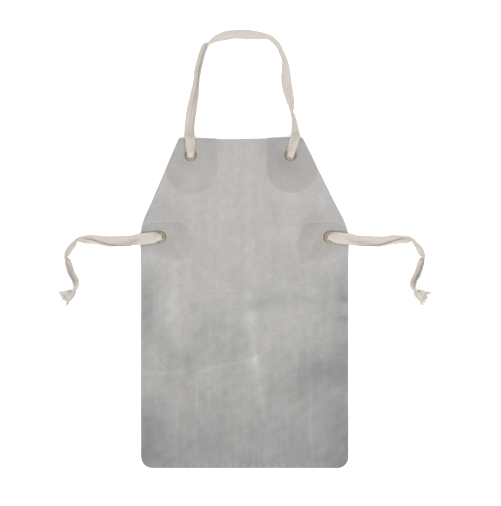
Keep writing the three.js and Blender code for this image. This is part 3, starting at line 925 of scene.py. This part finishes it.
def knot(side, body):
    """An overhand knot of tape with a short tail, whose gathered neck stands up in the bore."""
    at = EYELETS[side]
    t = np.linspace(0, 2 * math.pi, 91)
    scale = (KNOT_RADIUS - KNOT_ROPE) / 3
    lift = KNOT_HEIGHT / 2 - KNOT_ROPE * KNOT_FLATNESS - 0.0004
    line = np.stack([
        at.x + scale * (np.sin(t) + 2 * np.sin(2 * t)),
        at.y + scale * (np.cos(t) - 2 * np.cos(2 * t)),
        KNOT_HEIGHT / 2 + CLEARANCE - lift * np.sin(3 * t),
    ], axis=1)
    loop = closed_tube(tube_rings(line, KNOT_ROPE * (1 + 0.06 * np.sin(7 * t)), 12, KNOT_FLATNESS))
    angle = np.linspace(0, 2 * math.pi, 56, endpoint=False)
    pleats = np.cos(6 * angle + 0.6 * np.sin(2 * angle))
    neck = []
    for height, width in KNOT_NECK:
        radius = width * (0.94 + 0.06 * pleats)
        neck.append(np.stack([at.x + radius * np.cos(angle), at.y + radius * np.sin(angle),
                              height + 0.0004 * pleats * min(1, width / 0.005)], axis=1))
    tail_line = np.array(KNOT_TAIL) + [at.x, at.y, 0]
    tail = closed_tube(tube_rings(catmull_rom(tail_line, 6), 0.008, 12, 0.1))
    points, faces = joined([loop, closed_tube(np.stack(neck)), tail])
    piece = mesh_object(f"tape_knot_{side}", points, faces, [TAPE])
    set_values(piece, "along", points[:, 0] + points[:, 2])
    set_values(piece, "across", 0.3 * (points[:, 1] - at.y))
    off_axis = np.hypot(points[:, 0] - at.x, points[:, 1] - at.y)
    in_bore = (points[:, 2] > KNOT_HEIGHT) & (off_axis < EYELET_BORE / 2)
    # painted shade: darker round the rim of the neck in the bore, where the eyelet shades it
    set_values(piece, "painted_shade", 0.9 * in_bore * smooth_step(off_axis, 0.004, 0.0064))
    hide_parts(f"knot_{side}")
    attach(piece, body)
    return piece


KNOTS = [
    knot("neck_left", "apron"),
    knot("neck_right", "apron"),
    knot("waist_left", "tie_left_knot"),
    knot("waist_right", "tie_right_knot"),
]


# ---- the leather sheet ----
# Darker and lighter marks on the leather, several of them along its folds: [points of a line], amount,
# half width, in millimetres and thousandths.
TONES = in_metres([
    ([(-62, 330), (-60, 200), (-64, 50)], 45, 11),
    ([(-128, 300), (-125, 210)], -35, 12),
    ([(72, 300), (80, 250), (91, 200)], -50, 7),
    ([(-10, 225), (-6, 190)], -30, 10),
    ([(12, 180), (70, 184), (132, 193)], 35, 6),
    ([(-276, 80), (-280, 0), (-274, -95)], -150, 26),
    ([(-282, 30), (-262, 5)], -110, 14),
    ([(-282, -30), (-262, -35)], -80, 12),
    ([(-190, 100), (-190, -30), (-182, -110)], 85, 22),
    ([(-225, -90), (-210, -150), (-165, -165)], -65, 22),
    ([(-150, -195), (-132, -100), (-80, -62), (3, -85)], -85, 12),
    ([(-100, -120), (-30, -120)], -60, 35),
    ([(-285, -193), (-225, -195), (-171, -193)], 85, 5),
    ([(-125, -192), (-61, -174), (12, -160), (54, -134)], 110, 4),
    ([(16, -30), (22, -105), (31, -170), (45, -253), (55, -320)], 100, 6.8),
    ([(16, -38), (18, -46)], 150, 10),
    ([(26, -165), (34, -158)], 120, 9),
    ([(12, 22), (13, 16)], 100, 10),
    ([(55, -90), (100, -110), (140, -100)], 40, 30),
    ([(18, -10), (50, -8)], -120, 9),
    ([(50, 0), (130, 12), (215, 4)], -90, 12),
    ([(284, 14), (262, 10)], -160, 9),
    ([(284, -41), (262, -44)], -140, 9),
    ([(276, 90), (268, 0), (272, -130)], -170, 30),
    ([(125, -235), (200, -205), (280, -160)], -170, 36),
    ([(270, -200), (272, -320), (262, -430)], -130, 35),
    ([(-272, -310), (-268, -380), (-255, -440)], -120, 32),
    ([(-250, -295), (-235, -305)], 70, 12),
    ([(183, -215), (180, -330), (188, -445)], 90, 3.5),
    ([(201, -410), (206, -430)], 60, 8),
    ([(-133, -207), (-132, -260), (-134, -310)], 95, 2.6),
    ([(-188, -270), (-187, -360), (-189, -452)], 70, 3.5),
    ([(-6, -385), (-30, -415), (-60, -448)], 55, 10),
    ([(-255, -447), (0, -449), (255, -447)], 110, 3),
    ([(196, 340), (187, 270), (180, 200)], -40, 16),
    ([(212, 285), (217, 262), (214, 240)], 90, 10),
    ([(-232, 295), (-228, 245)], -50, 20),
    ([(262, 280), (275, 230)], -50, 10),
    ([(120, 100), (225, 75)], -50, 30),
    ([(140, -150), (230, -165)], -70, 35),
])
# how light the leather is at heights up it, before its marks: darker towards the hem, partly its own
# colour and partly painted light falloff
TONE_AND_PAINTED_FALLOFF_UP = [(-0.457, 0.62), (-0.385, 0.66), (-0.23, 0.8), (-0.03, 0.905), (0.12, 0.97), (0.3, 1.02)]
# (place), amount, half width
STAINS = [((-0.079, 0.404), 0.75, 0.0032), ((-0.086, 0.355), 0.25, 0.003), ((-0.17, -0.25), 0.1, 0.012)]


def tone_at(x, y):
    """How light the leather is at each place: about 1 at the chest, less towards the hem, partly as
    painted light falloff.
    """
    clouds = 0.011 * waves(x, 0.07 * y, 0.03, 24) * smooth_step(y, -0.1, 0.1)
    clouds = clouds + 0.014 * waves(x, y, 0.09, 21) + 0.012 * waves(x, y, 0.045, 22)
    clouds = clouds + 0.004 * waves(x, 0.15 * y, 0.016, 23)
    clouds = clouds * np.interp(y, [-0.2, 0.2], [1.5, 0.8])
    low_sides = 0.03 * np.clip(-y / 0.3, 0, 1) * np.abs(x) / 0.28
    return np.interp(y, *np.transpose(TONE_AND_PAINTED_FALLOFF_UP)) + clouds - low_sides + marks_at(x, y, TONES, 0.35)


def stain_at(x, y):
    ragged = 1 + 0.5 * waves(x, y, 0.006, 8)
    stain = 0
    for (sx, sy), amount, width in STAINS:
        stain = stain + amount * bump(np.hypot(x - sx, (y - sy) / 2.2), width) * ragged
    return np.clip(stain, 0, 1)


def spaced_shares():
    """Row places up the leather, closer together at its rounded corners."""
    length = 2 * HALF_LENGTH
    arc = 1 - np.cos(np.radians(np.linspace(0, 90, 9)))
    ends = [HEM_RADIUS * arc, length - 0.012 * arc, np.array([length - 0.0005])]
    middle_rows = np.arange(0.034, length - 0.016, CELL)
    return np.unique(np.round(np.concatenate([*ends, middle_rows]), 6)) / length


def leather_sheet():
    shares = spaced_shares()
    rows, columns = len(shares), round(2 * HALF_WIDTH / CELL) + 1
    left, right = np.interp(shares, *LEFT_CHAIN)[:, None], np.interp(shares, *RIGHT_CHAIN)[:, None]
    x = left + (right - left) * np.linspace(0, 1, columns)
    y = -HALF_LENGTH + shares[:, None] * (top_edge(x) + HALF_LENGTH)
    keep = np.ones(x.shape, bool)
    for at in EYELETS.values():  # the points round a hole move onto its edge, and those within it go
        radius = np.hypot(x - at.x, y - at.y)
        keep &= radius > HOLE * 0.93
        near = (radius > HOLE * 0.93) & (radius < HOLE + 0.62 * CELL)
        x = np.where(near, at.x + (x - at.x) * HOLE / np.maximum(radius, 1e-9), x)
        y = np.where(near, at.y + (y - at.y) * HOLE / np.maximum(radius, 1e-9), y)
    back = leather_back(x, y)
    quads = grid_faces(rows, columns)
    quads = quads[keep.reshape(-1)[quads].all(axis=1)]
    piece, points = slab("leather_sheet", x, y, (back + LEATHER, back), quads, [SUEDE, CUT_EDGE], True)
    set_values(piece, "tone", tone_at(points[:, 0], points[:, 1]))
    set_values(piece, "stain", stain_at(points[:, 0], points[:, 1]))
    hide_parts("leather_panel")
    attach(piece, "apron")
    return piece


# ---- patches and their stitching ----
PATCH_RAYS = 288
# how far in from the patch's edge its rows of points are
PATCH_INSETS = np.array([0, 0.0004, 0.0012, 0.0024, 0.0034, 0.0042, 0.005, 0.0062, 0.0078, 0.01])
SKIVED = 0.0095
STITCH_INSET = 0.0042
STITCH_PITCH = 0.0042
# how far a neck patch's half circle is to the right of its eyelet and below it
NECK_PATCH = {"neck_left": (0.002, 0.038), "neck_right": (0.005, 0.033)}
NECK_PATCH_RADIUS = 0.07


def patch_outline(side):
    """A closed outline, trimmed to the leather by patch_edge."""
    at = EYELETS[side]
    beyond = 0.09
    if side in NECK_PATCH:
        shift, drop = NECK_PATCH[side]
        angle = np.linspace(-math.pi, 0, 61)
        arc = NECK_PATCH_RADIUS * np.stack([np.cos(angle), np.sin(angle)], axis=1) + [shift, -drop]
        ends = [[shift + NECK_PATCH_RADIUS, beyond], [shift - NECK_PATCH_RADIUS, beyond]]
        return np.vstack([arc, ends]) + [at.x, at.y]
    inward = 1 if side == "waist_left" else -1
    corners = [(-beyond, 0.005, 0.001), (-0.022, 0.039, 0.05), (0.064, 0.039, 0.024), (0.093, -0.02, 0.03),
               (0.072, -0.067, 0.024), (0.02, -0.062, 0.06), (-beyond, -0.02, 0.001)]
    return rounded_outline([(at.x + inward * u, at.y + v, r) for u, v, r in corners])


def ray_distance(origin, angles, outline):
    """How far it is from origin to a closed outline, in each direction."""
    start, end = outline, np.roll(outline, -1, axis=0)
    best = np.full(len(angles), 1e9)
    for k, angle in enumerate(angles):
        d = np.array([math.cos(angle), math.sin(angle)])
        e = end - start
        cross = d[0] * e[:, 1] - d[1] * e[:, 0]
        offset = start - origin
        with np.errstate(divide="ignore", invalid="ignore"):
            far = (offset[:, 0] * e[:, 1] - offset[:, 1] * e[:, 0]) / cross
            share = (offset[:, 0] * d[1] - offset[:, 1] * d[0]) / cross
        hit = (np.abs(cross) > 1e-12) & (far > 0) & (share >= -1e-9) & (share <= 1 + 1e-9)
        if hit.any():
            best[k] = far[hit].min()
    return best


def patch_edge(side):
    """The patch's edge as angles and distances from its eyelet."""
    origin = np.array([EYELETS[side].x, EYELETS[side].y])
    angles = np.linspace(-math.pi, math.pi, PATCH_RAYS, endpoint=False)
    own, panel = (ray_distance(origin, angles, outline) for outline in (patch_outline(side), OUTLINE))
    return angles, np.minimum(own, panel)


def patch_rise(from_edge):
    """How far a patch stands up from the leather: its edge is skived, with a groove under the stitches."""
    skived = np.clip(1 - from_edge / SKIVED, 0, 1)
    return PATCH - 0.0011 * skived**1.2 - 0.00015 * bump(from_edge - STITCH_INSET, 0.0009)


def patch(side):
    at = EYELETS[side]
    angles, far = patch_edge(side)
    reach = far - PATCH_INSETS[-1] - HOLE
    inner = [HOLE + reach * share for share in np.linspace(0, 1, 16)[:-1]]
    radius = np.array(inner + [far - inset for inset in PATCH_INSETS[::-1]])
    x, y = at.x + radius * np.cos(angles), at.y + radius * np.sin(angles)
    ground = leather_face(x, y)
    heights = (ground + patch_rise(far - radius), ground + 0.00004)
    quads = grid_faces(len(radius), PATCH_RAYS, closed=True)[:, ::-1]
    materials = [SMOOTH_LEATHER, CUT_EDGE]
    piece, points = slab(f"patch_leather_{side}", x, y, heights, quads, materials, False)
    tone = patch_tone(side, points[:, 0] - at.x, points[:, 1] - at.y)
    # the patch takes part of the leather's tone, with its painted light falloff towards the hem
    set_values(piece, "tone", tone * (tone_at(points[:, 0], points[:, 1]) * 0.6 + 0.4))
    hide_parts(f"patch_{side}")
    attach(piece, "apron")
    return piece


# The soft darker and lighter places of the patches, from their eyelets, partly painted shade and painted
# highlight of the leather's bulges and crease. The right waist patch mirrors the left one.
PATCH_CREASE = [(0.028, -0.002), (0.042, -0.03), (0.06, -0.062)]
PATCH_MARKS = {
    "neck_left": [
        # painted shade and painted light of the leather's bulge over the knot: darker to the lower left of
        # the eyelet, paler below it
        ([(-0.06, -0.07), (-0.03, -0.066)], -0.05, 0.014),
        ([(-0.004, -0.06), (-0.004, -0.095)], 0.03, 0.018),
        ([(-0.034, -0.01), (-0.008, -0.026)], -0.05, 0.01),
    ],
    "neck_right": [
        ([(-0.045, 0.01), (-0.01, -0.032), (0.036, -0.07)], -0.075, 0.012),
        ([(-0.052, -0.01), (-0.05, -0.06)], -0.06, 0.024),
        ([(0.0, -0.05), (0.04, 0.0)], -0.09, 0.06),
    ],
    "waist_left": [
        # painted shade along the crease and on its outer side, and a painted highlight on the low ridge
        # inward of it
        ([(0.005, -0.025), (0.025, -0.048)], -0.035, 0.016),
        (PATCH_CREASE, -0.045, 0.002),
        ([(x - 0.006, y - 0.003) for x, y in PATCH_CREASE], -0.03, 0.006),
        ([(0.045, 0.000), (0.07, -0.035)], 0.02, 0.014),
    ],
}


def patch_tone(side, dx, dy):
    if side == "waist_right":
        side, dx = "waist_left", -dx
    return 1 + marks_at(dx, dy, PATCH_MARKS[side], 0.4)


def stitch_line(side):
    """Evenly spaced places along the stitching, with its direction at each."""
    at = EYELETS[side]
    angles, far = patch_edge(side)
    edge = np.stack([at.x + far * np.cos(angles), at.y + far * np.sin(angles)], axis=1)
    ahead = unit(np.roll(edge, -1, axis=0) - np.roll(edge, 1, axis=0))
    line = edge + np.stack([-ahead[:, 1], ahead[:, 0]], axis=1) * STITCH_INSET
    line = np.vstack([line, line[:1]])
    along = lengths_along(line)
    count = int(along[-1] / STITCH_PITCH)
    places = (np.arange(count) + 0.5) * along[-1] / count
    spots, after = (
        np.stack([np.interp(at_length, along, line[:, k]) for k in (0, 1)], axis=1)
        for at_length in (places, (places + 0.001) % along[-1])
    )
    return spots, unit(after - spots)


def stitching(side):
    """Lockstitches round a patch, and the same stitches on the leather's back."""
    spots, direction = stitch_line(side)
    random = np.random.default_rng(7)
    share = np.linspace(-1, 1, 7)
    profile = np.sqrt(np.clip(1 - share**2, 0.03, 1))
    parts = []
    for front in (True, False):
        for (x, y), (dx, dy) in zip(spots, direction):
            lean = random.normal(0, 0.05)
            dx, dy = dx - lean * dy, dy + lean * dx
            half = STITCH_PITCH * random.uniform(0.32, 0.37)
            px, py = x + dx * half * share, y + dy * half * share
            if front:
                sunk = 0.00025 + 0.00028 * (abs(dy) > 0.85)  # deeper along the patches' upright edges
                height = leather_face(px, py) + patch_rise(STITCH_INSET) - sunk + 0.0003 * profile
            else:
                height = leather_back(px, py) - 0.0003 * profile
            parts.append(closed_tube(tube_rings(np.stack([px, py, height], axis=1), 0.00046 * profile, 8)))
    points, faces = joined(parts)
    piece = mesh_object(f"stitching_{side}", points, faces, [STITCH])
    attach(piece, "apron")
    return piece


sheet = leather_sheet()
patches = [patch(side) for side in SIDES]
seams = [stitching(side) for side in SIDES]


# ---- eyelets ----
def turned(name, profile, at, material, rubbed_and_highlight, segments=96):
    """A closed profile of (radius, height) turned about +Z."""
    angle = np.linspace(0, 2 * math.pi, segments, endpoint=False)
    profile = np.array(profile)
    ring = np.stack([np.cos(angle), np.sin(angle)], axis=1)
    points = np.zeros((len(profile), segments, 3))
    points[..., :2] = at[:2] + profile[:, None, :1] * ring[None]
    points[..., 2] = at[2] + profile[:, 1:2]
    count = len(profile)
    faces = grid_faces(count, segments, closed=True).tolist()
    j = np.arange(segments)
    k = (j + 1) % segments
    last = (count - 1) * segments
    faces += np.stack([last + j, last + k, k, j], axis=1).tolist()
    piece = mesh_object(name, points.reshape(-1, 3), faces, [material])
    set_values(piece, "rubbed_and_highlight", np.repeat(rubbed_and_highlight, segments))
    return piece


BARREL_WALL = 0.0008
ROLLED_OUT = 0.003
BEVEL = 0.0002


def eyelet(side):
    """An eyelet, whose barrel's end is rolled out behind, and its washer."""
    at = EYELETS[side]
    inner, outer = EYELET_BORE / 2, FLANGE_WIDTH / 2
    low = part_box(f"eyelet_{side}")[0].z - PATCH_FACE
    radii = inner + (outer - inner) * (0.5 - 0.5 * np.cos(np.linspace(0, math.pi, 22)))
    dome = [(r, max(float(flange_height(np.array(min(r, outer - 1e-6)))), 0.0005)) for r in radii[1:-1]]
    barrel = inner + BARREL_WALL
    profile = [
        (inner + 0.0003, low), (inner, low + 0.0006), (inner, 0.0006), *dome,
        (outer, 0.0007), (outer, 0.00015), (outer - 0.0004, 0.00008),
        (barrel, 0.00008), (barrel, low + BARREL_WALL),
        (barrel + ROLLED_OUT, low + BARREL_WALL), (barrel + ROLLED_OUT, low),
    ]
    heights = np.array([height for _, height in profile])
    out = (np.array([radius for radius, _ in profile]) - inner) / (outer - inner)
    # paler on the raised inner part of the flange: partly rubbed wear, partly a painted highlight
    rubbed_and_highlight = np.clip(heights / FLANGE_HEIGHT, 0, 1) * np.clip(1.25 - 1.7 * out, 0, 1) * 0.9
    place = np.array([at.x, at.y, PATCH_FACE])
    ring = turned(f"grommet_{side}", profile[::-1], place, BRASS, rubbed_and_highlight[::-1])
    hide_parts(f"eyelet_{side}")
    washer_low, washer_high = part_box(f"washer_{side}")
    rim = (washer_high.x - washer_low.x) / 2
    thick = washer_high.z - washer_low.z
    hole = barrel + 0.0003
    profile = [
        (hole, BEVEL), (hole, thick - BEVEL), (hole + BEVEL, thick), (rim - BEVEL, thick),
        (rim, thick - BEVEL), (rim, BEVEL), (rim - BEVEL, 0), (hole + BEVEL, 0),
    ]
    place = np.array([at.x, at.y, washer_low.z])
    washer = turned(f"grommet_washer_{side}", profile[::-1], place, BRASS, np.zeros(len(profile)))
    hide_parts(f"washer_{side}")
    for piece in (ring, washer):
        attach(piece, "apron")


for eyelet_side in SIDES:
    eyelet(eyelet_side)


# ---- floor, light ----
def add_floor():
    size = 6.0
    floor = mesh_object("floor", [(-size, -size, 0), (size, -size, 0), (size, size, 0), (-size, size, 0)],
                        [(0, 1, 2, 3)], [])
    n = Material("floor", 0.9, specular=0.1)
    made = n.finish(n.scaled((0.93, 0.93, 0.93), n.between(n.noise(3.0, 2), 0.3, 0.7, 0.995, 1.0)))
    n.shader.inputs["Emission Color"].default_value = (1.0, 1.0, 1.0, 1.0)
    n.shader.inputs["Emission Strength"].default_value = 0.25
    floor.data.materials.append(made)


def add_light(name, place, target, size, power):
    data = bpy.data.lights.new(name, "AREA")
    data.shape = "DISK"
    data.size = size
    data.energy = power
    light = bpy.data.objects.new(name, data)
    bpy.context.scene.collection.objects.link(light)
    light.location = place
    light.rotation_mode = "QUATERNION"
    light.rotation_quaternion = (Vector(target) - Vector(place)).to_track_quat("-Z", "Y")


def add_world(strength):
    world = bpy.data.worlds.new("studio")
    world.use_nodes = True
    background = world.node_tree.nodes["Background"]
    background.inputs["Color"].default_value = (1.0, 1.0, 1.0, 1.0)
    background.inputs["Strength"].default_value = strength
    bpy.context.scene.world = world


add_floor()
add_light("key", (0.4, -2.4, 2.6), (0, 0.1, 0), 1.4, 80)
add_light("fill", (0.2, 2.2, 2.8), (0, 0.1, 0), 2.0, 26)
add_world(0.95)
bpy.context.scene.view_settings.view_transform = "Standard"
